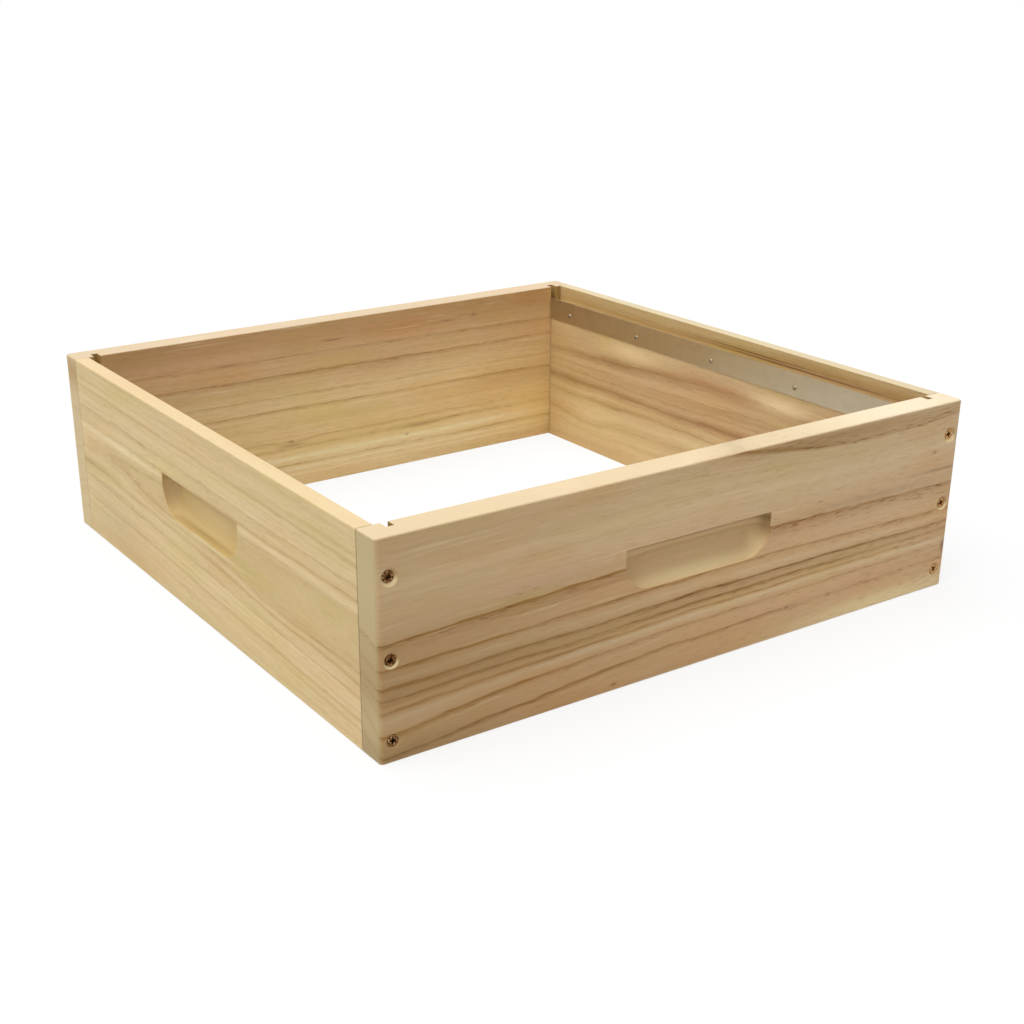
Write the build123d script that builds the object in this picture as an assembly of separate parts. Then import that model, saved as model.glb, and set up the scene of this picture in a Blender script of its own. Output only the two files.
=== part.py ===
from build123d import *
import os

# Honey super of a wooden beehive: four boards, two frame rests, corner screws and nails.
# Millimetres, +Z up. The origin is the middle of the bottom rim. X runs along the front board from
# left to right, and Y from the front board to the back board.

# Box, outside
box_width = 508.0
box_depth = 508.0
box_height = 150.0
board = 22.0
upright_corner = 3.0
arris = 1.5
eased = 0.4

# Corner joint: a tongue on the side board in a groove of the front or back board
tongue = 5.5
tongue_length = 7.5
tongue_side_play = 0.15
tongue_end_play = 0.5

# Rebate for the frame lugs, along the top inner edge of the left and right boards
lip = 11.5
rebate_depth = 16.0

# Hand-hold: a scoop with a straight top, in the middle of each outer face
hold_width = 129.0
hold_height = 31.5
hold_below_rim = 50.0
hold_depth = 11.0
hold_corner = 22.0
hold_cove = 10.0
hold_rim = 0.8

# Frame rest: a steel strip on edge that stands up in front of the rebate
strip_thickness = 1.0
strip_height = 20.0
strip_drop = 10.5
strip_end_gap = 1.0

# Nails of the frame rests
nail_count = 5
nail_end_margin = 28.0
nail_row_shift = 3.0
nail_below_strip_top = 12.5
nail_head = 4.5
nail_head_rise = 1.2
nail_shank = 1.8
nail_length = 16.0
nail_point = 3.0
nail_clearance = 0.05

# Corner screws: countersunk, with a cross recess
screw_head = 8.0
screw_head_edge = 0.3
screw_shank = 2.8
screw_thread = 4.0
screw_length = 45.0
screw_thread_length = 26.0
screw_pitch = 2.0
screw_point = 5.0
screw_inset = 9.5
screw_above_bottom = 15.0
screw_below_ledge = 10.0
bottom_screw_sink = 0.7
middle_screw_sink = 1.2
top_screw_sink = 1.8
screw_clearance = 0.1
screw_hole_rim = 0.2
recess_span = 4.6
recess_wing = 1.2
recess_depth = 2.2
recess_taper = 8.0
tick_span = 3.8
tick_width = 0.35
tick_depth = 0.5
tick_angle = 45.0
screw_turn_step = 37.0

# A cut runs this far past the face that it opens
overcut = 2.0

# Planes that several pieces share
half_width = box_width / 2
half_depth = box_depth / 2
inner_x = half_width - board
inner_y = half_depth - board
ledge_z = box_height - rebate_depth
strip_top = box_height - strip_drop
strip_bottom = strip_top - strip_height
strip_end_y = inner_y - strip_end_gap
nail_z = strip_top - nail_below_strip_top
nail_pitch = 2 * (strip_end_y - nail_end_margin) / (nail_count - 1)
screw_x = half_width - screw_inset
highest_screw = ledge_z - screw_below_ledge

# Height of each screw, and how far its head lies below the face
screw_levels = {
    "bottom": (screw_above_bottom, bottom_screw_sink),
    "middle": ((screw_above_bottom + highest_screw) / 2, middle_screw_sink),
    "top": (highest_screw, top_screw_sink),
}
turned_round = Rot(0, 0, 180)


def block(x_span, y_span, z_span):
    """A box between two values on each axis."""
    spans = (x_span, y_span, z_span)
    middle = [(low + high) / 2 for low, high in spans]
    size = [high - low for low, high in spans]
    return Pos(*middle) * Box(*size)


def hand_hold():
    """The scoop's cutter: local X along the board, Y up, and Z out of the board's outer face."""
    middle_height = box_height - hold_below_rim - hold_height / 2
    outline = Pos(0, middle_height) * Rectangle(hold_width, hold_height)
    lower_corners = outline.vertices().sort_by(Axis.Y)[:2]
    outline = fillet(lower_corners, hold_corner)
    scoop = extrude(Pos(0, 0, overcut) * outline, amount=-(overcut + hold_depth))
    floor_edges = scoop.edges().group_by(Axis.Z)[0].sort_by(Axis.Y)
    return fillet(floor_edges[:-1], hold_cove)


def with_hand_hold(piece, face):
    """Cuts the scoop into the outer face, and eases the scoop's rim."""
    cutter = face * hand_hold()
    cut = piece - cutter
    return cut.fillet(hold_rim, new_edges(piece, cutter, combined=cut))


def screw_hole(sink):
    """Countersunk clearance hole through the front board, on the axis of a screw at the origin."""
    mouth = sink + overcut
    radius_at_head = screw_head / 2 + screw_head_edge + screw_hole_rim
    wall = screw_thread / 2 + screw_clearance
    profile = Polyline(
        (0, mouth),
        (radius_at_head + mouth, mouth),
        (wall, wall - radius_at_head),
        (wall, -board - overcut),
        (0, -board - overcut),
        close=True,
    )
    return revolve(Plane.XZ * make_face(profile), Axis.Z)


def screw():
    """A wood screw at the origin: head up, its top at Z = 0."""
    head = screw_head / 2
    shank = screw_shank / 2
    crest = screw_thread / 2
    thread_top = -(screw_length - screw_thread_length)
    thread_turns = int((screw_thread_length - screw_point) / screw_pitch)
    neck = screw_head_edge + head - shank
    points = [(0, 0), (head, 0), (head, -screw_head_edge), (shank, -neck)]
    for turn in range(thread_turns):
        root_z = thread_top - turn * screw_pitch
        points.append((shank, root_z))
        points.append((crest, root_z - screw_pitch / 2))
    points.append((shank, thread_top - thread_turns * screw_pitch))
    points.append((0, -screw_length))
    body = revolve(Plane.XZ * make_face(Polyline(*points, close=True)), Axis.Z)
    cross = Rectangle(recess_span, recess_wing) + Rectangle(recess_wing, recess_span)
    ticks = Rectangle(tick_span, tick_width) + Rectangle(tick_width, tick_span)
    body -= extrude(cross, amount=-recess_depth, taper=recess_taper)
    return body - extrude(Rot(0, 0, tick_angle) * ticks, amount=-tick_depth)


def nail():
    """A nail at the origin: domed head up, its seat at Z = 0."""
    head = nail_head / 2
    shank = nail_shank / 2
    dome_radius = (head**2 + nail_head_rise**2) / (2 * nail_head_rise)
    dome = RadiusArc((0, nail_head_rise), (head, 0), dome_radius)
    rest = Polyline(
        (head, 0),
        (shank, 0),
        (shank, nail_point - nail_length),
        (0, -nail_length),
        (0, nail_head_rise),
    )
    return revolve(Plane.XZ * make_face(dome + rest), Axis.Z)


def at_front_screw(side, height, sink):
    """Place of a screw in the front board: its axis along Y, its head sunk below the outer face."""
    return Pos(side * screw_x, sink - half_depth, height) * Rot(90, 0, 0)


def at_left_nail(row):
    """Place of a nail in the left frame rest: its axis along X, its head inside the box."""
    along = nail_end_margin - strip_end_y + row * nail_pitch + nail_row_shift
    return Pos(strip_thickness - inner_x, along, nail_z) * Rot(0, 90, 0)


def with_nail_holes(piece):
    """Drills the row of nail holes through the left frame rest, or into the board behind it."""
    hole = Cylinder(nail_shank / 2 + nail_clearance, 2 * nail_length)
    for row in range(nail_count):
        piece -= at_left_nail(row) * hole
    return piece


def front_board():
    body = block((-half_width, half_width), (-half_depth, -inner_y), (0, box_height))
    uprights = body.faces().sort_by(Axis.Y)[0].edges().filter_by(Axis.Z)
    body = fillet(uprights, upright_corner)
    rims = [edge for rim in body.faces().filter_by(Axis.Z) for edge in rim.edges().sort_by(Axis.Y)[:-1]]
    body = fillet(rims, arris)
    inner_edges = body.faces().sort_by(Axis.Y)[-1].edges()
    body = chamfer(inner_edges, eased)
    body = with_hand_hold(body, Plane((0, -half_depth, 0), x_dir=(1, 0, 0), z_dir=(0, -1, 0)))
    groove = block(
        (inner_x, inner_x + tongue + tongue_side_play),
        (-inner_y - tongue_length - tongue_end_play, -inner_y + overcut),
        (-overcut, box_height + overcut),
    )
    body -= groove
    body -= mirror(groove, Plane.YZ)
    for height, sink in screw_levels.values():
        body -= at_front_screw(-1, height, sink) * screw_hole(sink)
        body -= at_front_screw(1, height, sink) * screw_hole(sink)
    return body


def left_board():
    body = block((-half_width, -inner_x), (-inner_y, inner_y), (0, box_height))
    outer_long = body.faces().sort_by(Axis.X)[0].edges().filter_by(Axis.Y)
    body = fillet(outer_long, arris)
    body += block(
        (-inner_x - tongue, -inner_x),
        (-inner_y - tongue_length, inner_y + tongue_length),
        (0, box_height),
    )
    body -= block(
        (lip - half_width, overcut - inner_x),
        (-half_depth, half_depth),
        (ledge_z, box_height + overcut),
    )
    body = with_hand_hold(body, Plane((-half_width, 0, 0), x_dir=(0, -1, 0), z_dir=(-1, 0, 0)))
    for height, sink in screw_levels.values():
        pilot_depth = screw_length + sink - board + screw_clearance
        pilot = Rot(90, 0, 0) * Cylinder(screw_thread / 2 + screw_clearance, pilot_depth)
        pilot_y = inner_y - pilot_depth / 2
        body -= Pos(-screw_x, -pilot_y, height) * pilot
        body -= Pos(-screw_x, pilot_y, height) * pilot
    return with_nail_holes(body)


def left_frame_rest():
    strip = block(
        (-inner_x, strip_thickness - inner_x),
        (-strip_end_y, strip_end_y),
        (strip_bottom, strip_top),
    )
    return with_nail_holes(strip)


def super_pieces():
    """Every piece in its place, by name. The back and right ones are the front and left ones turned."""
    pieces = {}
    for front_or_left, back_or_right, made in (
        ("front_board", "back_board", front_board()),
        ("left_board", "right_board", left_board()),
        ("left_frame_rest", "right_frame_rest", left_frame_rest()),
    ):
        pieces[front_or_left] = made
        pieces[back_or_right] = turned_round * made
    turn = 0.0
    for level, (height, sink) in screw_levels.items():
        for side, side_name, turned_name in ((-1, "left", "right"), (1, "right", "left")):
            driven = at_front_screw(side, height, sink) * Rot(0, 0, turn) * screw()
            pieces[f"screw_front_{side_name}_{level}"] = driven
            pieces[f"screw_back_{turned_name}_{level}"] = turned_round * driven
            turn += screw_turn_step
    for row in range(nail_count):
        driven = at_left_nail(row) * nail()
        pieces[f"nail_left_{row + 1}"] = driven
        pieces[f"nail_right_{row + 1}"] = turned_round * driven
    return pieces


os.makedirs("parts", exist_ok=True)
for name, piece in super_pieces().items():
    export_step(piece, f"parts/{name}.step")
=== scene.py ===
from collections import namedtuple
import math

import bpy
from mathutils import Matrix, Vector


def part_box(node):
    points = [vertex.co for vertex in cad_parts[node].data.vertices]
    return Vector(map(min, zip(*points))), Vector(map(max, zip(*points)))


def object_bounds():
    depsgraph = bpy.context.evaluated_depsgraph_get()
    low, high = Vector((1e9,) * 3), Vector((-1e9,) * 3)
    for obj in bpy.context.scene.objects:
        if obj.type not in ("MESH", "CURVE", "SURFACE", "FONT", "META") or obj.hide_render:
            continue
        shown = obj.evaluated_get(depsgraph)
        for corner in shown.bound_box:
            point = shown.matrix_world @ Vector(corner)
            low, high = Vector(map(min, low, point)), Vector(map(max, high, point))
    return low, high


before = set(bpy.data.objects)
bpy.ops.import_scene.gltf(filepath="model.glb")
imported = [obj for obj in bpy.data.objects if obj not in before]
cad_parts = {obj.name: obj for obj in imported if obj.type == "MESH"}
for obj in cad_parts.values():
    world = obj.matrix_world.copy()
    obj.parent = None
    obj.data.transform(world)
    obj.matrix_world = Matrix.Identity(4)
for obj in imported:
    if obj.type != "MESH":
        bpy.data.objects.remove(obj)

# A honey super: four planed boards screwed at the corners, and galvanised frame rests inside two of them
cad_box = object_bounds()
scene = bpy.context.scene
scene.view_settings.view_transform = "Standard"

# Sizes in millimetres, from the frame
MM = 0.001
box_half = cad_box[1].x / MM
box_height = cad_box[1].z / MM
board = (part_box("front_board")[1].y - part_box("front_board")[0].y) / MM
inner_half = box_half - board
screw_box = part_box("screw_front_right_top")
screw_along = (screw_box[0].x + screw_box[1].x) / 2 / MM
screw_top = (screw_box[0].z + screw_box[1].z) / 2 / MM
screw_head = (screw_box[1].z - screw_box[0].z) / MM

# Cuts in the boards, in millimetres: the hand-hold scoop, the lug rebate of the side boards with the lip
# that it leaves, and the groove of the corner joint
hold_width = 129
hold_height = 31.5
hold_depth = 11
hold_below_rim = 50
rebate_depth = 16
lip = 11.5
groove_depth = 8
hold_top = box_height - hold_below_rim
hold_bottom = hold_top - hold_height
ledge = box_height - rebate_depth


def linear(colour):
    """An sRGB hex colour as the linear colour, with alpha, that a socket takes."""
    parts = [int(colour[i:i + 2], 16) / 255 for i in (1, 3, 5)]
    return [p / 12.92 if p <= 0.04045 else ((p + 0.055) / 1.055) ** 2.4 for p in parts] + [1.0]


def tone_stops(tones):
    """Stops of a colour ramp, from places and hex colours."""
    return [(place, linear(tone)) for place, tone in tones]


def grey(shade):
    """A shade from 0 to 1 as a ramp's colour."""
    return [shade, shade, shade, 1]


def add(tree, kind, inputs, out=0, stops=(), **settings):
    """Adds one shader node with its settings, ramp stops and links, and gives back the output asked for.

    Inputs go by name or number. On a Map Range node, 0 is the value, 1 and 2 the range that it comes from,
    3 and 4 the range that it goes to. On a Mix node, 0 is how much, 6 the colour below and 7 the one above.
    """
    node = tree.nodes.new("ShaderNode" + kind)
    for setting, value in settings.items():
        setattr(node, setting, value)
    for number, (place, colour) in enumerate(stops):
        ramp = node.color_ramp.elements
        stop = ramp[number] if number < len(ramp) else ramp.new(place)
        stop.position = place
        stop.color = colour
    for socket, value in inputs.items():
        if isinstance(value, bpy.types.NodeSocket):
            tree.links.new(value, node.inputs[socket])
        else:
            node.inputs[socket].default_value = value
    return node.outputs[out] if node.outputs else node


def new_material(name):
    """An empty node material."""
    material = bpy.data.materials.new(name)
    material.use_nodes = True
    material.node_tree.nodes.clear()
    return material


def dress(node, material):
    """Gives a CAD node its material."""
    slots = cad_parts[node].data.materials
    slots.clear()
    slots.append(material)


# Paulownia boards, sawn and planed: soft pale wood with brown growth lines, open pores and a dull sheen.
# Each figure in the wood is a noise, this long and wide in millimetres along and across the grain. Detail is
# how broken up the noise is, and seed keeps it apart from the others
Figure = namedtuple("Figure", "long wide detail seed")
WANDER = Figure(210, 55, 2, 0.0)     # slow bends of the grain
RIPPLE = Figure(38, 9, 2, 0.3)       # short waves in it
FRAY = Figure(24, 1.4, 2, 0.6)       # strands at the edges of the growth lines
PRESENCE = Figure(100, 5, 4, 1.7)    # growth lines come and go along the board
STREAK = Figure(190, 6, 3, 0.5)
THREAD = Figure(70, 1.7, 2, 0.6)
MOTTLE = Figure(120, 30, 2, 0.9)     # clouds of pinkish and greenish wood

# Real fibres are about 1 by 0.03 and pores 4 by 0.2: both are drawn coarser, so that they show
FIBRE = Figure(16, 1.1, 3, 0.7)
PORE = Figure(10, 1.0, 1, 1.1)

# Nearly all of a noise lies between the low and the high value
NOISE_LOW = 0.3
NOISE_MIDDLE = 0.5
NOISE_HIGH = 0.7

# Colours that the boards share
LINE_BROWN = "#BC9C30"    # a full growth line multiplies the wood by this
PORE_BROWN = "#B08C30"    # and a full pore by this
BLUSH = "#FFF2DD"
KHAKI = "#F8FAD8"
KNOT = "#764812"
RED_FLECK = "#8E4A26"
JOINT_LINE = "#6E5A38"
# Bruised wood in the screw holes is partly painted shade, and their drilled lower walls partly a painted
# highlight
BRUISED_AND_SHADED = "#B8925E"
DRILLED_AND_HIGHLIT = "#F0D8A6"
# The sawn groove is darker as sawn wood and as painted shade
SAWN_AND_SHADED = "#AA8B50"

# Every board is a solid block of grain. Along runs to the right on the face that shows, up is Z, and inward
# goes from the outer face into the wood. A growth ring keeps its colour all through the board. Sizes are in
# millimetres, and heights are on the show face at mid-length:
#   along, inward      axis of the frame, and sense, of these two directions
#   show               how deep the face that shows lies below the outer face
#   seed               keeps this board's noises apart from those of the other boards
#   pith, lean         middle of the log, up and inward, and how far it moves for each millimetre along
#   wander, ripple, fray            how far the grain bends, waves and frays
#   ring_width, ring_strength       fine yearly rings
#   streak_strength, fibre_strength    long streaks, and the threads and fibres between them
#   line_core          strength of the crisp middle of a growth line
#   line_strength      strength of growth lines and yearly rings, at the left end and at the right end
#   pore_strength      strength of the pores at these two ends
#   line_pores         what the pores gain on a growth line
#   ground    wood between the lines: height and colour
#   lines     growth lines: height, how dark (below 0 is a pale streak), and how far each fades down and up
#   swirls    grain pushed down round a place on the face: along, up, reach along, reach up, and how far
#   marks     knots, flecks, patches and some painted shade and highlights: along, up, reach along, reach up, colour and strength
#   scoop     the same, inside the hand-hold alone, where they are mostly painted shade, painted shadow and painted highlights
#   fades     a colour, where along the board it starts, where it is strongest, and its strength there
#   pale, routed, end, edge    colours of pale streaks, the scoop, end grain and the planed top edge

# Plain pale wood above, dark lines below that draw apart to the left, and a loop of grain at the top right
FRONT_GRAIN = {
    "along": ("X", 1), "inward": ("Y", 1), "show": 0, "seed": 1,
    "pith": (-45, 25), "lean": (0, -0.06), "wander": 6, "ripple": 2.6, "fray": 2.6,
    "ring_width": 4.3, "ring_strength": 0.12, "streak_strength": 0.255, "fibre_strength": 0.102,
    "line_core": 1, "line_strength": (1.35, 0.65), "pore_strength": (0.05, 0.3), "line_pores": 0.75,
    "ground": [
        (0, "#DBB382"), (20, "#DEB787"), (37, "#E3BF92"), (43, "#DAB482"), (54, "#D2AE80"),
        (60, "#E2BF91"), (80, "#DAB386"), (92, "#DBBB92"), (105, "#E2C69F"), (118, "#E4CAA2"),
        (150, "#D9BC91"), (170, "#D2B386"),
    ],
    "lines": [
        (20.6, 0.7, 3.5, 0.9), (32.3, 0.5, 3.5, 0.9), (38, -1.0, 3.5, 2.6), (41.8, 0.45, 1, 0.9),
        (47.6, 0.65, 3.5, 1.2), (55, 0.85, 4, 1.4), (60.5, -0.4, 3, 3), (68, 0.6, 4, 1.2),
        (88.2, 0.95, 9, 1.0), (157, 0.95, 5, 16),
    ],
    "swirls": [
        (175, 150, 115, 20, 32), (box_half, 72, 150, 26, 4.5), (-box_half, 8, 130, 22, 8),
        (-box_half, 84, 120, 10, 4), (-box_half, 48, 110, 14, -2.2), (-75, 46, 45, 9, 1.5),
    ],
    "marks": [
        # Pin knots, and a gap in the wood at the right end, drawn as painted shade
        (-72, 5, 2.4, 1.1, RED_FLECK, 0.7), (86, 22, 2.2, 1.2, KNOT, 1.0), (229, 113, 2, 0.9, KNOT, 0.7),
        (251, 33, 3, 5.5, "#7A5638", 0.9),
        # Flecks
        (-146, 94, 3, 0.6, RED_FLECK, 0.45), (-138, 91.5, 2.4, 0.6, RED_FLECK, 0.45),
        (-150, 90.5, 2, 0.6, RED_FLECK, 0.45), (112, 98, 2.5, 0.6, KNOT, 0.5),
        # Pinkish wood round the flecks, and browner wood at the left end
        (-144, 96, 45, 5, "#CFA584", 0.4), (-box_half, 54, 190, 28, "#8E6A30", 0.42),
        (-box_half, 5, 85, 12, "#8C6E48", 0.45),
        # Pinkish and pale patches to the right, and a pale bottom edge: paler sanded wood with a painted
        # highlight from the floor
        (150, 27, 110, 11, "#E0B48A", 0.5), (190, 4, 110, 9, "#FBE3AE", 0.9),
        (230, 118, 110, 26, "#D2B89A", 0.15), (110, 0, 230, 1.2, "#F6E6BE", 0.85),
        # Dark wood inside the loop, bands to the right of the hand-hold, and a painted highlight along the
        # top edge
        (125, 145, 95, 4.6, "#A07C48", 0.55), (160, 91.5, 70, 2.4, "#A98560", 0.45),
        (240, 98.5, 36, 1.3, "#8E6C44", 0.45), (160, 77, 80, 6, "#DDC09A", 0.35),
        (200, 150.5, 80, 1.2, "#FFF0DA", 0.8),
    ],
    "scoop": [
        # Painted light in the scoop: a painted highlight on the lower cove, a pale patch low at the right
        # end, painted shade on the right end wall and a painted shadow under the lip
        (0, 70, 80, 4.5, "#F4E0B0", 0.8), (57, 77, 6, 8, "#F0DAA8", 0.6),
        (64, 93, 3, 9, "#866A40", 0.65), (0, 95.4, 90, 1.8, "#6E5028", 0.8),
    ],
    "fades": [("#B08A52", 30, -290, 0.36), ("#DCC29C", 20, 260, 0.25)],
    "pale": "#EDD5AF", "routed": "#D9BC88", "end": "#BEAC7E", "edge": "#F2E0BC",
}

# Even yellowish wood. The pith is level with the hand-hold, so the rings below it repeat those above
LEFT_GRAIN = {
    "along": ("Y", -1), "inward": ("X", 1), "show": 0, "seed": 2,
    "pith": (78, 44), "lean": (-0.02, -0.012), "wander": 6, "ripple": 1.6, "fray": 1.5,
    "ring_width": 4.5, "ring_strength": 0.31, "streak_strength": 0.323, "fibre_strength": 0.136,
    "line_core": 0.8, "line_strength": (0.8, 1.1), "pore_strength": (0.16, 0.16), "line_pores": 0.5,
    "ground": [(78, "#DEC794"), (120, "#EBD5A8"), (150, "#E2CC9B")],
    "lines": [
        (87, -0.5, 1, 3), (92, 0.3, 3, 0.8), (96.5, -0.9, 1.2, 2.4), (101.5, 0.25, 2.5, 1),
        (112, 0.3, 4, 1.2), (128, 0.2, 4, 1),
    ],
    "swirls": [(130, 68, 60, 16, 6), (-150, 78, 50, 12, -3)],
    "marks": [
        # A thin streak, a dull patch low at the back, and a darker top edge above it
        (-170, 54, 40, 1, "#AE9160", 0.5), (-165, 24, 60, 26, "#BEA87C", 0.4),
        (-130, 150.5, 60, 1.2, "#D8B27E", 0.8),
        # A pale ridge on both sides of the hand-hold
        (-200, 97, 150, 3.4, "#F4E2B8", 0.6), (200, 96.5, 150, 3, "#F2DEB2", 0.5),
        # Dull wood along the top, and a painted highlight on the scoop's lower rim
        (0, 147, 260, 4, "#BCA070", 0.15), (5, 66.6, 62, 1.2, "#F6E4B4", 0.5),
        # Corner joints
        (-inner_half, 75, 0.8, 400, JOINT_LINE, 0.55), (inner_half, 75, 0.8, 400, JOINT_LINE, 0.55),
    ],
    "scoop": [
        # Inside the scoop: a darker crease along the lower cove, a painted highlight on the floor, painted
        # shade on the left end and a painted shadow under the lip
        (2, 69.2, 56, 0.9, "#947840", 0.65), (10, 81, 46, 9, "#EACD8E", 0.5),
        (-60, 86, 7, 22, "#B4966A", 0.6), (-10, 95.6, 70, 1.8, "#8A6C3C", 0.7),
    ],
    "fades": [],
    "pale": "#EED8A8", "routed": "#CCAD6E", "end": "#E0C897", "edge": "#EBD3A8",
}

# Straight grain: golden with pale streaks at the bottom, and reddish towards the top
BACK_GRAIN = {
    "along": ("X", 1), "inward": ("Y", -1), "show": board, "seed": 3,
    "pith": (-150, 60), "lean": (-0.008, -0.01), "wander": 6, "ripple": 2, "fray": 1.6,
    "ring_width": 4.6, "ring_strength": 0.2, "streak_strength": 0.238, "fibre_strength": 0.136,
    "line_core": 0.85, "line_strength": (0.9, 0.9), "pore_strength": (0.14, 0.16), "line_pores": 0.7,
    "ground": [
        (0, "#EED39C"), (24, "#F1D7A0"), (40, "#EFD39B"), (60, "#EED29C"), (84, "#F2D9A6"),
        (100, "#E8C899"), (118, "#E7C597"), (138, "#D7AE7E"), (152, "#D3AD7A"),
    ],
    "lines": [
        (11.5, -0.6, 1.6, 1.6), (16.5, -0.8, 2, 2), (21.3, 0.45, 2.2, 1.6), (27.5, -1.0, 3.6, 3.6),
        (37.5, 0.35, 4, 4), (45, 0.3, 4, 1.5), (73.8, 0.5, 4, 1.2), (86.5, 0.22, 3, 1.5),
        (106.5, 0.55, 5, 1.3), (122.5, 0.3, 3.5, 1.5),
    ],
    "swirls": [(-60, 42, 22, 4, 2.5), (75, 37, 20, 3.5, 2)],
    "marks": [
        # Two pin knots, each with dark grain beside it
        (-60, 44, 2.4, 1, KNOT, 0.62), (-60, 40, 14, 1.6, "#A67E46", 0.7),
        (63, 29, 1.8, 1, KNOT, 0.6), (75, 37, 18, 1.8, "#A67E46", 0.65),
        # Flecks towards the top
        (-14, 132, 11, 0.8, RED_FLECK, 0.6), (-120, 124, 11, 0.8, RED_FLECK, 0.6),
        (-175, 126, 14, 0.8, RED_FLECK, 0.3), (110, 133, 8, 1, RED_FLECK, 0.45),
        (140, 135, 3, 2, KNOT, 0.4),
        # Two pale blisters
        (35, 52, 6, 1.8, "#EBCB94", 0.6), (116, 53, 8, 2, "#EBCB94", 0.5),
        # Patches at the upper left, the lower right, the left end's top and the bottom, and two browner ones
        (-170, 133, 90, 12, "#D0A078", 0.15), (-130, 130, 60, 6, "#E8C498", 0.35),
        (215, 38, 50, 22, "#EBCA84", 0.5), (-box_half, 138, 5, 12, "#AE8A55", 0.7),
        (30, 14, 90, 18, "#F0DEB2", 0.35), (185, 66, 70, 8, "#C49C66", 0.4),
        (30, 104, 40, 7, "#B88A58", 0.35),
    ],
    # In the scoop, a painted highlight on the lower cove and a painted shadow under the lip
    "scoop": [(0, 70, 80, 4.5, "#F4E0B0", 0.6), (0, 95.4, 90, 1.8, "#6E5028", 0.7)],
    # Towards the right end the wood turns darker and more golden: painted shade of the inner corner
    "fades": [("#DCB272", 120, 260, 0.4), ("#E6C090", -40, -260, 0.2)],
    "pale": "#FFF1CA", "routed": "#DFC48C", "end": "#CCB88C", "edge": "#E7D9BE",
}

# Wavy grain in pale and brown flames
RIGHT_GRAIN = {
    "along": ("Y", -1), "inward": ("X", -1), "show": board, "seed": 4,
    "pith": (-120, 60), "lean": (0, -0.012), "wander": 16, "ripple": 5, "fray": 2,
    "ring_width": 4.2, "ring_strength": 0.27, "streak_strength": 0.34, "fibre_strength": 0.136,
    "line_core": 0.35, "line_strength": (0.9, 1.1), "pore_strength": (0.16, 0.18), "line_pores": 0.5,
    "ground": [
        (0, "#DEC492"), (24, "#E5CE9E"), (36, "#DAC090"), (43, "#E7D1A3"), (53, "#D3B587"),
        (58, "#DDC395"), (66, "#BD976B"), (72, "#D4B68C"), (79, "#C8A77C"), (86, "#D9BD94"),
        (95, "#C09D72"), (103, "#D1B28A"), (117, "#E1C9A0"), (135, "#D9BE90"), (142, "#D3B37A"),
        (147, "#DDC594"),
    ],
    "lines": [
        (34, 0.2, 3, 1.5), (53, 0.4, 3, 2), (65.8, 0.5, 5, 2.5), (74.3, 0.3, 2.4, 1),
        (83.5, 0.3, 3, 1.2), (96, 0.45, 6, 3),
    ],
    "swirls": [(-box_half, 95, 110, 14, 6), (20, 103, 110, 14, -7), (-170, 30, 40, 14, 7)],
    "marks": [
        # Corner joints
        (-inner_half, 75, 1.2, 400, "#6A4C24", 0.6), (inner_half, 75, 0.8, 400, JOINT_LINE, 0.55),
        # Pale flames under the frame rest, with paler wood at the back corner
        (-105, 110, 42, 8, "#EBD09D", 0.8), (-224, 82, 20, 50, "#E0C08C", 0.25),
        (88, 107, 36, 7, "#EBD2A2", 0.9),
        # Brown flames
        (-222, 64, 26, 3.5, "#A57D4C", 0.3), (0, 103, 55, 6, "#B88C5E", 0.5),
        (-95, 40, 60, 40, "#B8945E", 0.35), (-215, 104, 22, 6, "#B48E5C", 0.15),
        # Two dark lines along the rebate's wall just above the frame rest, and duller wood beside them
        (50, 141, 70, 0.7, "#6E340A", 0.8), (95, 138.6, 110, 0.8, "#6E340A", 0.95),
        (150, 138, 130, 2.4, "#A88A5C", 0.25),
        # Brown patches lower down
        (-140, 6, 50, 14, "#B08A56", 0.4), (-30, 28, 35, 12, "#B08C58", 0.35),
        (-30, 66, 30, 8, "#A9804E", 0.35), (85, 66, 30, 8, "#A9804E", 0.35),
    ],
    # In the scoop, a painted highlight on the lower cove and a painted shadow under the lip
    "scoop": [(0, 70, 80, 4.5, "#F4E0B0", 0.5), (0, 95.6, 80, 1.8, "#8A6C3C", 0.7)],
    "fades": [("#E8CC92", -130, -260, 0.45), ("#C5A374", 0, 260, 0.5)],
    "pale": "#EED6A6", "routed": "#DFC48C", "end": "#E0C897", "edge": "#DFD5B6",
}


def blots(tree, spot, figure, board_seed):
    """Noise drawn out along the grain, in blots of the figure's size."""
    stretch = (1 / figure.long, 1 / figure.wide, 1 / figure.wide)
    scaled = add(tree, "VectorMath", {0: spot, 1: stretch}, operation="MULTIPLY")
    inputs = {"Vector": scaled, "W": board_seed + figure.seed, "Scale": 1, "Detail": figure.detail}
    return add(tree, "TexNoise", inputs, out="Color", noise_dimensions="4D")


def nearness(tree, spot, place, reach):
    """1 at a place on the board's face, falling off as a bell over a reach along and up."""
    away = add(tree, "VectorMath", {0: spot, 1: (*place, 0)}, operation="SUBTRACT")
    away = add(tree, "VectorMath", {0: away, 1: (1 / reach[0], 1 / reach[1], 0)}, operation="MULTIPLY")
    square = add(tree, "VectorMath", {0: away, 1: away}, out="Value", operation="DOT_PRODUCT")
    minus = add(tree, "Math", {0: square, 1: -1}, operation="MULTIPLY")
    return add(tree, "Math", {0: minus}, operation="EXPONENT")


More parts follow.
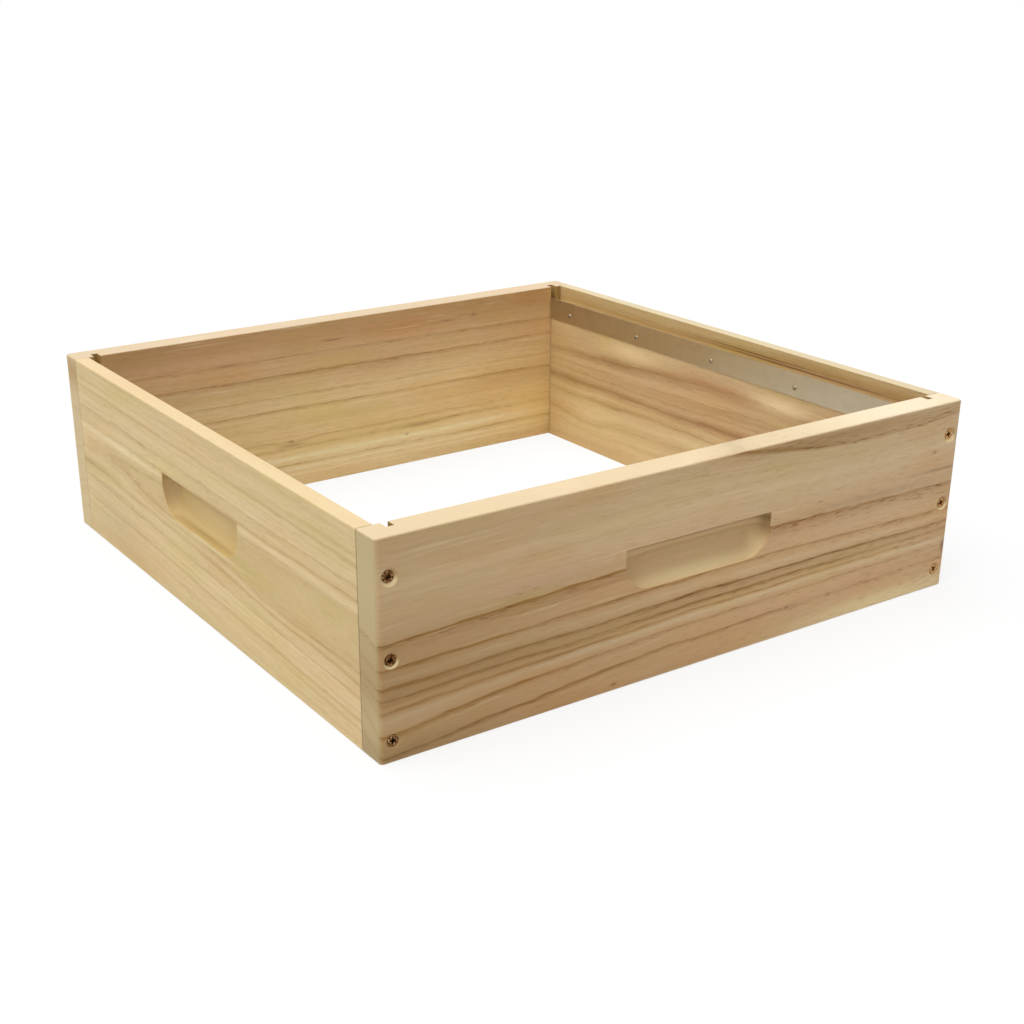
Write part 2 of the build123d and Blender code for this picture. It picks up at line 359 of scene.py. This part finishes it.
def inside(tree, spot, low, high):
    """1 inside a box in the board's own directions, with the two ends of the board taken as one."""
    middle = [(a + b) / 2 for a, b in zip(low, high)]
    half = [(b - a) / 2 for a, b in zip(low, high)]
    mirrored = add(tree, "VectorMath", {0: spot}, operation="ABSOLUTE")
    away = add(tree, "VectorMath", {0: mirrored, 1: middle}, operation="SUBTRACT")
    away = add(tree, "VectorMath", {0: away}, operation="ABSOLUTE")
    away = add(tree, "VectorMath", {0: away, 1: half}, operation="DIVIDE")
    parts = add(tree, "SeparateXYZ", {0: away}).node.outputs
    furthest = add(tree, "Math", {0: parts[0], 1: parts[1]}, operation="MAXIMUM")
    furthest = add(tree, "Math", {0: furthest, 1: parts[2]}, operation="MAXIMUM")
    return add(tree, "Math", {0: furthest, 1: 1}, operation="LESS_THAN")


def ring_distance(tree, grain, spot, along):
    """Distance from the pith, wavy as grown wood is, and pushed aside round knots."""
    bent = spot
    for figure, bend in ((WANDER, grain["wander"]), (RIPPLE, grain["ripple"]), (FRAY, grain["fray"])):
        noise = blots(tree, spot, figure, grain["seed"])
        aside = add(tree, "VectorMath", {0: noise, 1: (NOISE_MIDDLE,) * 3}, operation="SUBTRACT")
        bent = add(tree, "VectorMath", {0: aside, 1: (0, bend, bend), 2: bent}, operation="MULTIPLY_ADD")
    for swirl_along, swirl_up, reach_along, reach_up, push in grain["swirls"]:
        near = nearness(tree, spot, (swirl_along, swirl_up), (reach_along, reach_up))
        bent = add(tree, "VectorMath", {0: near, 1: (0, push, 0), 2: bent}, operation="MULTIPLY_ADD")
    leaning = {0: along, 1: (0, *grain["lean"]), 2: (0, *grain["pith"])}
    pith = add(tree, "VectorMath", leaning, operation="MULTIPLY_ADD")
    away = add(tree, "VectorMath", {0: bent, 1: pith}, operation="SUBTRACT")
    away = add(tree, "VectorMath", {0: away, 1: (0, 1, 1)}, operation="MULTIPLY")
    return add(tree, "VectorMath", {0: away}, out="Value", operation="LENGTH")


# A point of a board: its place along, up and inward in one, the first two alone, its distance from the pith,
# its place along and across the rings in one, and the way that its surface faces
Wood = namedtuple("Wood", "tree grain spot along up rings along_rings facing")


def board_wood(tree, grain):
    """Where a point of a board lies, in millimetres."""
    (along_axis, along_sense), (inward_axis, inward_sense) = grain["along"], grain["inward"]
    world = add(tree, "SeparateXYZ", {0: add(tree, "TexCoord", {}, out="Object")}).node.outputs
    own = add(tree, "CombineXYZ", {0: world[along_axis], 1: world["Z"], 2: world[inward_axis]})
    senses = (along_sense / MM, 1 / MM, inward_sense / MM)
    spot = add(tree, "VectorMath", {0: own, 1: senses, 2: (0, 0, box_half)}, operation="MULTIPLY_ADD")
    parts = add(tree, "SeparateXYZ", {0: spot}).node.outputs
    along, up = parts[0], parts[1]
    rings = ring_distance(tree, grain, spot, along)
    along_rings = add(tree, "CombineXYZ", {0: along, 1: rings})
    facing = add(tree, "SeparateXYZ", {0: add(tree, "NewGeometry", {}, out="Normal")}).node.outputs
    return Wood(tree, grain, spot, along, up, rings, along_rings, facing)


def by_height(wood, stops):
    """A colour ramp across the growth rings, from heights on the show face."""
    pith_up, pith_in = wood.grain["pith"]
    reach = [math.hypot(height - pith_up, wood.grain["show"] - pith_in) for height, _ in stops]
    span = reach[-1] - reach[0]
    ramp = [((ring - reach[0]) / span, colour) for ring, (_, colour) in zip(reach, stops)]
    share = add(wood.tree, "MapRange", {0: wood.rings, 1: reach[0], 2: reach[-1]})
    return add(wood.tree, "ValToRGB", {0: share}, stops=ramp)


# How far the crisp middle of a growth line reaches below and above its height
CORE_BELOW = 1.8
CORE_ABOVE = 0.9

# On the ramp of the growth lines, this shade is plain wood. Lighter is a dark line, and darker a pale streak
NO_LINE = 0.5


def growth_lines(wood):
    """How much soft shade, crisp middle and pale streak the growth lines give, from 0 to 1."""
    tree = wood.tree
    shades = []
    cores = []
    for height, dark, down, up in wood.grain["lines"]:
        for place, shade in ((height - down, 0), (height, dark), (height + up, 0)):
            shades.append((place, grey(NO_LINE + shade / 2)))
        for place, shade in ((height - CORE_BELOW, 0), (height, max(dark, 0)), (height + CORE_ABOVE, 0)):
            cores.append((place, grey(shade)))
    either = by_height(wood, sorted(shades))
    core = by_height(wood, sorted(cores))
    soft = add(tree, "MapRange", {0: either, 1: NO_LINE, 2: 1})
    pale = add(tree, "MapRange", {0: either, 1: NO_LINE, 2: 0})
    return soft, core, pale


# Growth lines come and go: where their noise is low and where it is high, and how much of them shows there
PRESENCE_LOW = 0.36
PRESENCE_HIGH = 0.64
LEAST_PRESENCE = 0.35
MOST_PRESENCE = 1.2


def line_presence(wood):
    """How much of the growth lines and yearly rings shows at a place."""
    tree = wood.tree
    left, right = wood.grain["line_strength"]
    noise = blots(tree, wood.along_rings, PRESENCE, wood.grain["seed"])
    patchy = {0: noise, 1: PRESENCE_LOW, 2: PRESENCE_HIGH, 3: LEAST_PRESENCE, 4: MOST_PRESENCE}
    presence = add(tree, "MapRange", patchy)
    ends = add(tree, "MapRange", {0: wood.along, 1: -box_half, 2: box_half, 3: left, 4: right})
    return add(tree, "Math", {0: presence, 1: ends}, operation="MULTIPLY")


# Coats of colour lie over the ground, each on the last: how much, the colour, and how it is laid on.
# The soft shade of a growth line has this strength beside its crisp middle
SOFT_STRENGTH = 0.8


def growth_line_coats(wood, soft, core, pale, presence):
    """Dark growth lines and pale streaks."""
    tree = wood.tree
    dark = add(tree, "Math", {0: core, 1: wood.grain["line_core"]}, operation="MULTIPLY")
    dark = add(tree, "Math", {0: soft, 1: SOFT_STRENGTH, 2: dark}, operation="MULTIPLY_ADD")
    dark = add(tree, "Math", {0: dark, 1: presence}, operation="MULTIPLY")
    return [(dark, LINE_BROWN, "MULTIPLY"), (pale, wood.grain["pale"], "MIX")]


def fade_coats(wood):
    """Slow changes of colour along the board."""
    coats = []
    for colour, start, full, strength in wood.grain["fades"]:
        amount = add(wood.tree, "MapRange", {0: wood.along, 1: start, 2: full, 4: strength})
        coats.append((amount, colour, "MIX"))
    return coats


# One year, from the inner edge of its ring to the outer one: pale early wood darkens slowly to late wood
SEASONS = ((0.0, 0.5), (0.12, 0), (0.55, 0.08), (0.85, 0.45), (0.97, 1))


def yearly_ring_coat(wood, presence):
    """Fine rings, one for each year. Some years hardly show."""
    tree = wood.tree
    turns = add(tree, "Math", {0: wood.rings, 1: wood.grain["ring_width"]}, operation="DIVIDE")
    year = add(tree, "Math", {0: turns}, operation="FLOOR")
    season = add(tree, "Math", {0: turns}, operation="FRACT")
    vigour = add(tree, "TexWhiteNoise", {"W": year}, noise_dimensions="1D")
    late = add(tree, "ValToRGB", {0: season}, stops=[(place, grey(shade)) for place, shade in SEASONS])
    amount = add(tree, "Math", {0: late, 1: vigour}, operation="MULTIPLY")
    amount = add(tree, "Math", {0: amount, 1: wood.grain["ring_strength"]}, operation="MULTIPLY")
    amount = add(tree, "Math", {0: amount, 1: presence}, operation="MULTIPLY")
    return amount, LINE_BROWN, "MULTIPLY"


# The highest threads are pale ones: from where in the noise, and how pale
PALE_THREAD_FROM = 0.56
PALE_THREAD_STRENGTH = 0.4


def fine_grain_coats(wood, fibre):
    """Streaks, threads, fibres and faint clouds of colour between the growth lines."""
    tree = wood.tree
    grain = wood.grain
    streaks = blots(tree, wood.along_rings, STREAK, grain["seed"])
    threads = blots(tree, wood.along_rings, THREAD, grain["seed"])
    shaded = [
        (streaks, grain["streak_strength"]),
        (threads, grain["fibre_strength"]),
        (fibre, grain["fibre_strength"]),
    ]
    coats = []
    for noise, strength in shaded:
        amount = add(tree, "MapRange", {0: noise, 1: NOISE_LOW, 2: NOISE_HIGH, 4: strength})
        coats.append((amount, LINE_BROWN, "MULTIPLY"))
    highest = {0: threads, 1: PALE_THREAD_FROM, 2: NOISE_HIGH, 4: PALE_THREAD_STRENGTH}
    coats.append((add(tree, "MapRange", highest), grain["pale"], "MIX"))
    mottle = blots(tree, wood.spot, MOTTLE, grain["seed"])
    for extreme, colour in ((NOISE_HIGH, BLUSH), (NOISE_LOW, KHAKI)):
        amount = add(tree, "MapRange", {0: mottle, 1: NOISE_MIDDLE, 2: extreme})
        coats.append((amount, colour, "MULTIPLY"))
    return coats


# End grain: how near the board's end it lies, in millimetres, and how squarely a surface faces the end where
# it starts to show and where it is full
END_GRAIN_DEPTH = 4
END_GRAIN_FROM = 0.55
END_GRAIN_FULL = 0.95
END_GRAIN_STRENGTH = 0.8


def end_grain_coat(wood):
    """End grain at the board's two ends, where the fibres are cut across."""
    tree = wood.tree
    along_axis = wood.grain["along"][0]
    square = add(tree, "Math", {0: wood.facing[along_axis]}, operation="ABSOLUTE")
    from_middle = add(tree, "Math", {0: wood.along}, operation="ABSOLUTE")
    at_end = add(tree, "Math", {0: from_middle, 1: box_half - END_GRAIN_DEPTH}, operation="GREATER_THAN")
    cut_across = {0: square, 1: END_GRAIN_FROM, 2: END_GRAIN_FULL, 4: END_GRAIN_STRENGTH}
    amount = add(tree, "Math", {0: add(tree, "MapRange", cut_across), 1: at_end}, operation="MULTIPLY")
    return amount, wood.grain["end"], "MIX"


def mark_coats(wood, marks, within=None):
    """Knots, flecks, patches, painted shade and painted highlights: ovals of colour that fade out, within a
    cut alone where one is given.
    """
    tree = wood.tree
    coats = []
    for along, up, reach_along, reach_up, colour, strength in marks:
        near = nearness(tree, wood.spot, (along, up), (reach_along, reach_up))
        if within is not None:
            near = add(tree, "Math", {0: near, 1: within}, operation="MULTIPLY")
        amount = add(tree, "Math", {0: near, 1: strength}, operation="MULTIPLY")
        coats.append((amount, colour, "MIX"))
    return coats


# The pores are the peaks of their noise: where one starts, and where it is full
PORE_FROM = 0.53
PORE_FULL = 0.65


def open_pores(wood):
    """1 in a pore, an open vessel that the plane has cut lengthwise."""
    noise = blots(wood.tree, wood.spot, PORE, wood.grain["seed"])
    return add(wood.tree, "MapRange", {0: noise, 1: PORE_FROM, 2: PORE_FULL})


def pore_coat(wood, pores, soft):
    """Pores as short dark dashes that crowd along the growth lines."""
    tree = wood.tree
    left, right = wood.grain["pore_strength"]
    apart = add(tree, "MapRange", {0: wood.along, 1: -box_half, 2: box_half, 3: left, 4: right})
    crowd = add(tree, "Math", {0: soft, 1: wood.grain["line_pores"], 2: apart}, operation="MULTIPLY_ADD")
    amount = add(tree, "Math", {0: pores, 1: crowd}, operation="MULTIPLY")
    return amount, PORE_BROWN, "MULTIPLY"


# The hand-hold's colour reaches this far past the scoop, in millimetres, and starts below its eased rim
HOLD_MARGIN_ALONG = 4
HOLD_MARGIN_UP = 3
HOLD_MARGIN_DEEP = 1.5
HOLD_RIM = 0.8
ROUTED_STRENGTH = 0.62


def hand_hold_coats(wood):
    """The routed scoop: plainer wood than the face, with marks of its own, mostly painted shade and
    highlights.
    """
    half_width = hold_width / 2 + HOLD_MARGIN_ALONG
    low = (-half_width, hold_bottom - HOLD_MARGIN_UP, HOLD_RIM)
    high = (half_width, hold_top + HOLD_MARGIN_UP, hold_depth + HOLD_MARGIN_DEEP)
    scoop = inside(wood.tree, wood.spot, low, high)
    amount = add(wood.tree, "Math", {0: scoop, 1: ROUTED_STRENGTH}, operation="MULTIPLY")
    return [(amount, wood.grain["routed"], "MIX")] + mark_coats(wood, wood.grain["scoop"], within=scoop)


# Screw holes: how many head widths their colour reaches from the axis, and how deep it goes in millimetres
SCREW_HOLE_REACH = 0.7
SCREW_HOLE_DEPTH = 6
# The bruised wood round a screw hole is partly painted shade
BRUISED_AND_SHADED_STRENGTH = 0.5

# The lower wall of a screw hole, pale as drilled wood and as a painted highlight: how far up it faces where
# it starts, and where it is full
LOWER_WALL_FROM = -0.1
LOWER_WALL_FULL = 0.4
DRILLED_AND_HIGHLIT_STRENGTH = 0.9

# Small distances, in millimetres, that keep the colour of a cut off the faces round it or take in its walls
WALL_MARGIN = 0.2
FACE_MARGIN = 0.5
# The sawn groove's darkness is partly painted shade
SAWN_AND_SHADED_STRENGTH = 0.85


def joint_coats(wood):
    """Bruised screw holes, partly painted shade, the upper two with a pale drilled lower wall, partly a
    painted highlight, and the sawn groove above the ledge, partly painted shade.
    """
    tree = wood.tree
    reach = screw_head * SCREW_HOLE_REACH
    far_corner = (screw_along + reach, screw_top + reach, SCREW_HOLE_DEPTH)
    holes = inside(tree, wood.spot, (screw_along - reach, 0, WALL_MARGIN), far_corner)
    upper_holes = inside(tree, wood.spot, (screw_along - reach, box_height / 3, WALL_MARGIN), far_corner)
    lower_wall = add(tree, "MapRange", {0: wood.facing["Z"], 1: LOWER_WALL_FROM, 2: LOWER_WALL_FULL})
    highlit_lower_wall = add(tree, "Math", {0: upper_holes, 1: lower_wall}, operation="MULTIPLY")
    groove_low = (inner_half - WALL_MARGIN, ledge, board - groove_depth - WALL_MARGIN)
    groove_high = (box_half - lip, box_height - FACE_MARGIN, board + FACE_MARGIN)
    groove = inside(tree, wood.spot, groove_low, groove_high)
    cuts = [
        (holes, BRUISED_AND_SHADED_STRENGTH, BRUISED_AND_SHADED),
        (highlit_lower_wall, DRILLED_AND_HIGHLIT_STRENGTH, DRILLED_AND_HIGHLIT),
        (groove, SAWN_AND_SHADED_STRENGTH, SAWN_AND_SHADED),
    ]
    coats = []
    for cut, strength, colour in cuts:
        amount = add(tree, "Math", {0: cut, 1: strength}, operation="MULTIPLY")
        coats.append((amount, colour, "MIX"))
    return coats


# The top edge: how far below the ledge its colour still lies, in millimetres, and how far up a surface faces
# where it starts and where it is full
EDGE_MARGIN = 1
EDGE_FROM = 0.3
EDGE_FULL = 0.9
EDGE_STRENGTH = 0.54


def top_edge_coat(wood):
    """The planed top edge."""
    tree = wood.tree
    above = add(tree, "Math", {0: wood.up, 1: ledge - EDGE_MARGIN}, operation="GREATER_THAN")
    level = add(tree, "MapRange", {0: wood.facing["Z"], 1: EDGE_FROM, 2: EDGE_FULL, 4: EDGE_STRENGTH})
    amount = add(tree, "Math", {0: level, 1: above}, operation="MULTIPLY")
    return amount, wood.grain["edge"], "MIX"


# Planed surface: roughness where fibres lie low and where they lie high, and how far fibres rise and pores
# sink in millimetres
WOOD_IOR = 1.5
LOW_FIBRE_ROUGHNESS = 0.66
HIGH_FIBRE_ROUGHNESS = 0.54
FIBRE_RISE = 0.05
PORE_SINK = 0.05


def paulownia(name, grain):
    """Planed paulownia: growth lines on pale wood, streaks, fibres, pores, end grain and plain cuts, with
    painted shade and highlights in the cuts and on a few edges.
    """
    material = new_material(name)
    tree = material.node_tree
    wood = board_wood(tree, grain)
    fibre = blots(tree, wood.spot, FIBRE, grain["seed"])
    pores = open_pores(wood)
    soft, core, pale = growth_lines(wood)
    presence = line_presence(wood)

    coats = growth_line_coats(wood, soft, core, pale, presence)
    coats += fade_coats(wood)
    coats.append(yearly_ring_coat(wood, presence))
    coats += fine_grain_coats(wood, fibre)
    coats.append(end_grain_coat(wood))
    coats += mark_coats(wood, grain["marks"])
    coats.append(pore_coat(wood, pores, soft))
    coats += hand_hold_coats(wood)
    # Only the front and back boards, which run along X, have screw holes and grooves
    if grain["along"][0] == "X":
        coats += joint_coats(wood)
    coats.append(top_edge_coat(wood))

    colour = by_height(wood, tone_stops(grain["ground"]))
    for amount, coat, way in coats:
        layers = {0: amount, 6: colour, 7: linear(coat)}
        colour = add(tree, "Mix", layers, out=2, data_type="RGBA", blend_type=way)

    sheen = {0: fibre, 1: NOISE_LOW, 2: NOISE_HIGH, 3: LOW_FIBRE_ROUGHNESS, 4: HIGH_FIBRE_ROUGHNESS}
    rough = add(tree, "MapRange", sheen)
    dents = add(tree, "Math", {0: pores, 1: -PORE_SINK}, operation="MULTIPLY")
    relief = add(tree, "Math", {0: fibre, 1: FIBRE_RISE, 2: dents}, operation="MULTIPLY_ADD")
    normal = add(tree, "Bump", {"Height": relief, "Distance": MM, "Strength": 1})
    finish = {"Base Color": colour, "Roughness": rough, "Normal": normal, "IOR": WOOD_IOR}
    add(tree, "OutputMaterial", {"Surface": add(tree, "BsdfPrincipled", finish)})
    return material


def place_in_mm(tree):
    """Place in the frame, in millimetres."""
    place = add(tree, "TexCoord", {}, out="Object")
    return add(tree, "VectorMath", {0: place, 1: (1 / MM,) * 3}, operation="MULTIPLY")


# Galvanised strip, in millimetres: rolling lines, drawn wider than the real 0.1 to show, and spangle
ROLLING_LONG = 60
ROLLING_WIDE = 0.6
ROLLING_RELIEF = 0.01
SPANGLE = 9
STRIP_GREY = "#C6BAA0"
DARKEST_SPANGLE = 0.95
PALEST_SPANGLE = 1.03
STRIP_SMOOTHEST = 0.3
STRIP_ROUGHEST = 0.44


def galvanised_steel():
    """Rolled galvanised strip: a satin grey zinc skin with faint spangle and rolling lines."""
    material = new_material("galvanised_steel")
    tree = material.node_tree
    spot = place_in_mm(tree)
    stretch = (1 / ROLLING_WIDE, 1 / ROLLING_LONG, 1 / ROLLING_WIDE)
    scaled = add(tree, "VectorMath", {0: spot, 1: stretch}, operation="MULTIPLY")
    rolled = add(tree, "TexNoise", {"Vector": scaled, "Scale": 1, "Detail": 2})
    spangle = add(tree, "TexVoronoi", {"Vector": spot, "Scale": 1 / SPANGLE}, out="Color")
    shade = add(tree, "MapRange", {0: spangle, 3: DARKEST_SPANGLE, 4: PALEST_SPANGLE})
    colour = add(tree, "VectorMath", {0: linear(STRIP_GREY)[:3], "Scale": shade}, operation="SCALE")
    satin = {0: rolled, 1: NOISE_LOW, 2: NOISE_HIGH, 3: STRIP_SMOOTHEST, 4: STRIP_ROUGHEST}
    rough = add(tree, "MapRange", satin)
    normal = add(tree, "Bump", {"Height": rolled, "Distance": ROLLING_RELIEF * MM, "Strength": 1})
    finish = {"Base Color": colour, "Metallic": 1, "Roughness": rough, "Normal": normal}
    add(tree, "OutputMaterial", {"Surface": add(tree, "BsdfPrincipled", finish)})
    return material


# Yellow zinc, in millimetres: the size of its blotches, and how far below the head's top a recess starts to
# darken and is dark, with grime and painted shade. The tones run from the darkest blotch to the palest: the
# palest are painted glints, and the browned ones, used to the left, are partly painted shade
BLOTCH = 1.3
GRIME_AND_SHADE_FROM = 0.05
GRIME_AND_SHADE_FULL = 0.7
BROWNED_AND_SHADED_ZINC = ((0.36, "#3A2010"), (0.5, "#6A4526"), (0.6, "#8F683F"), (0.72, "#E6CDAA"))
GOLDEN_ZINC = ((0.32, "#6E4422"), (0.46, "#A87A48"), (0.6, "#C79A66"), (0.7, "#EED2A6"))
RECESS_BROWN = "#7A5836"
DARK_BLOTCH_ROUGHNESS = 0.42
PALE_BLOTCH_ROUGHNESS = 0.28


def yellow_zinc(name, head_depth):
    """Yellow chromated zinc on screws: blotchy with painted glints, browner and with dark recesses to the
    left, partly painted shade.
    """
    material = new_material(name)
    tree = material.node_tree
    spot = place_in_mm(tree)
    parts = add(tree, "SeparateXYZ", {0: spot}).node.outputs
    blotch = add(tree, "TexNoise", {"Vector": spot, "Scale": 1 / BLOTCH, "Detail": 2})
    brown = add(tree, "ValToRGB", {0: blotch}, stops=tone_stops(BROWNED_AND_SHADED_ZINC))
    gold = add(tree, "ValToRGB", {0: blotch}, stops=tone_stops(GOLDEN_ZINC))
    golden = add(tree, "MapRange", {0: parts["X"], 1: -box_half, 2: box_half})
    colour = add(tree, "Mix", {0: golden, 6: brown, 7: gold}, out=2, data_type="RGBA")
    # To the left, the recesses darken with grime and painted shade
    outward = add(tree, "Math", {0: parts["Y"]}, operation="ABSOLUTE")
    sunk = add(tree, "Math", {0: box_half - head_depth, 1: outward}, operation="SUBTRACT")
    grime_and_shade = add(tree, "MapRange", {0: sunk, 1: GRIME_AND_SHADE_FROM, 2: GRIME_AND_SHADE_FULL})
    browned_and_shaded = add(tree, "Math", {0: 1, 1: golden}, operation="SUBTRACT")
    grime_and_shade = add(tree, "Math", {0: grime_and_shade, 1: browned_and_shaded}, operation="MULTIPLY")
    colour = add(tree, "Mix", {0: grime_and_shade, 6: colour, 7: linear(RECESS_BROWN)}, out=2, data_type="RGBA")
    gloss = {0: blotch, 1: NOISE_LOW, 2: NOISE_HIGH, 3: DARK_BLOTCH_ROUGHNESS, 4: PALE_BLOTCH_ROUGHNESS}
    finish = {"Base Color": colour, "Metallic": 1, "Roughness": add(tree, "MapRange", gloss)}
    add(tree, "OutputMaterial", {"Surface": add(tree, "BsdfPrincipled", finish)})
    return material


# Nail steel: the size of its dull spots in millimetres, and its tones from the darkest spot to the palest
DULL_SPOT = 1.2
DULLED_STEEL = ((0.35, "#7C6D56"), (0.65, "#A08F74"))
NAIL_SMOOTHEST = 0.4
NAIL_ROUGHEST = 0.5


def bright_steel():
    """Drawn steel nails: smooth, dulled by handling, with a small glint on the dome."""
    material = new_material("bright_steel")
    tree = material.node_tree
    dull = add(tree, "TexNoise", {"Vector": place_in_mm(tree), "Scale": 1 / DULL_SPOT, "Detail": 2})
    colour = add(tree, "ValToRGB", {0: dull}, stops=tone_stops(DULLED_STEEL))
    glint = {0: dull, 1: NOISE_LOW, 2: NOISE_HIGH, 3: NAIL_SMOOTHEST, 4: NAIL_ROUGHEST}
    finish = {"Base Color": colour, "Metallic": 1, "Roughness": add(tree, "MapRange", glint)}
    add(tree, "OutputMaterial", {"Surface": add(tree, "BsdfPrincipled", finish)})
    return material


# Finish of every piece
board_grains = {
    "front_board": FRONT_GRAIN,
    "left_board": LEFT_GRAIN,
    "back_board": BACK_GRAIN,
    "right_board": RIGHT_GRAIN,
}
for node, grain in board_grains.items():
    dress(node, paulownia("paulownia_" + node, grain))
strip_steel = galvanised_steel()
nail_steel = bright_steel()
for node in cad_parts:
    if node.endswith("_frame_rest"):
        dress(node, strip_steel)
    if node.startswith("nail_"):
        dress(node, nail_steel)
for level in ("bottom", "middle", "top"):
    head_depth = box_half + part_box(f"screw_front_left_{level}")[0].y / MM
    zinc = yellow_zinc("yellow_zinc_" + level, head_depth)
    for face in ("front", "back"):
        for side in ("left", "right"):
            dress(f"screw_{face}_{side}_{level}", zinc)

# Floor and surroundings: white to the eye and to reflections, and a plain pale grey to the light that they
# give back. Inside the box the floor gives back a little more
FLOOR_SIZE = 12.0
FLOOR_BOUNCE = "#E4E4E4"
FLOOR_BOUNCE_INSIDE = "#F8F8F8"
FLOOR_GLOW = 0.8
FLOOR_SHADE = "#757575"
WORLD_LIGHT = 0.22
WHITE = "#FFFFFF"


def seen_directly(tree):
    """1 on rays from the eye, or through a mirror-like or clear surface."""
    path = add(tree, "LightPath", {}).node.outputs
    seen = add(tree, "Math", {0: path["Is Camera Ray"], 1: path["Is Glossy Ray"]}, operation="MAXIMUM")
    return add(tree, "Math", {0: seen, 1: path["Is Transmission Ray"]}, operation="MAXIMUM")


def white_paper():
    """Smooth white paper sweep: only a soft shadow shows on it."""
    material = new_material("white_paper")
    tree = material.node_tree
    glow = add(tree, "Emission", {"Color": linear(WHITE), "Strength": FLOOR_GLOW})
    shade = add(tree, "BsdfDiffuse", {"Color": linear(FLOOR_SHADE)})
    shown = add(tree, "AddShader", {0: glow, 1: shade})
    apart = add(tree, "VectorMath", {0: add(tree, "TexCoord", {}, out="Object")}, operation="ABSOLUTE")
    apart = add(tree, "SeparateXYZ", {0: apart}).node.outputs
    furthest = add(tree, "Math", {0: apart["X"], 1: apart["Y"]}, operation="MAXIMUM")
    in_box = add(tree, "Math", {0: furthest, 1: box_half * MM}, operation="LESS_THAN")
    papers = {0: in_box, 6: linear(FLOOR_BOUNCE), 7: linear(FLOOR_BOUNCE_INSIDE)}
    bounce = add(tree, "BsdfDiffuse", {"Color": add(tree, "Mix", papers, out=2, data_type="RGBA")})
    mixed = add(tree, "MixShader", {0: seen_directly(tree), 1: bounce, 2: shown})
    add(tree, "OutputMaterial", {"Surface": mixed})
    return material


floor_half = FLOOR_SIZE / 2
corners = [(x * floor_half, y * floor_half, 0) for x, y in ((-1, -1), (1, -1), (1, 1), (-1, 1))]
floor_mesh = bpy.data.meshes.new("floor")
floor_mesh.from_pydata(corners, [], [(0, 1, 2, 3)])
floor_mesh.materials.append(white_paper())
floor = bpy.data.objects.new("floor", floor_mesh)
scene.collection.objects.link(floor)

scene.world = bpy.data.worlds.new("studio")
scene.world.use_nodes = True
sky = scene.world.node_tree
sky.nodes.clear()
sky_strength = add(sky, "MapRange", {0: seen_directly(sky), 3: WORLD_LIGHT, 4: 1.0})
background = add(sky, "Background", {"Color": linear(WHITE), "Strength": sky_strength})
add(sky, "OutputWorld", {"Surface": background})

# One broad soft lamp, overhead and a little to the left
lamp_direction = Vector((-0.30, 0.02, 0.954))
lamp_distance = 2
lamp = bpy.data.lights.new("overhead", "SUN")
lamp.energy = 3.2
lamp.angle = math.radians(70)
lamp_stand = bpy.data.objects.new("overhead", lamp)
lamp_stand.location = lamp_direction * lamp_distance
lamp_stand.rotation_euler = lamp_direction.to_track_quat("Z", "Y").to_euler()
scene.collection.objects.link(lamp_stand)

# Camera, as the photograph was taken: image width, focal length and optical centre in pixels, and the eye's
# place in millimetres
image_width = 1024
focal = 1535.11
optical_centre = (466, 561)
elevation = math.radians(22.396)
azimuth = math.radians(33.43)
roll = math.radians(-0.245)
eye = Vector((-663.75, -970.68, 476.02)) * MM

camera = bpy.data.cameras.new("camera")
camera.sensor_width = 36
camera.lens = focal * camera.sensor_width / image_width
camera.shift_x = (image_width / 2 - optical_centre[0]) / image_width
camera.shift_y = (optical_centre[1] - image_width / 2) / image_width
level_right = Vector((math.cos(azimuth), -math.sin(azimuth), 0))
ahead = Vector((math.sin(azimuth), math.cos(azimuth), 0)) * math.cos(elevation)
ahead.z = -math.sin(elevation)
right = math.cos(roll) * level_right + math.sin(roll) * level_right.cross(ahead)
stand = bpy.data.objects.new("camera", camera)
stand.matrix_world = Matrix((right, right.cross(ahead), -ahead)).transposed().to_4x4()
stand.location = eye
scene.collection.objects.link(stand)
scene.camera = stand
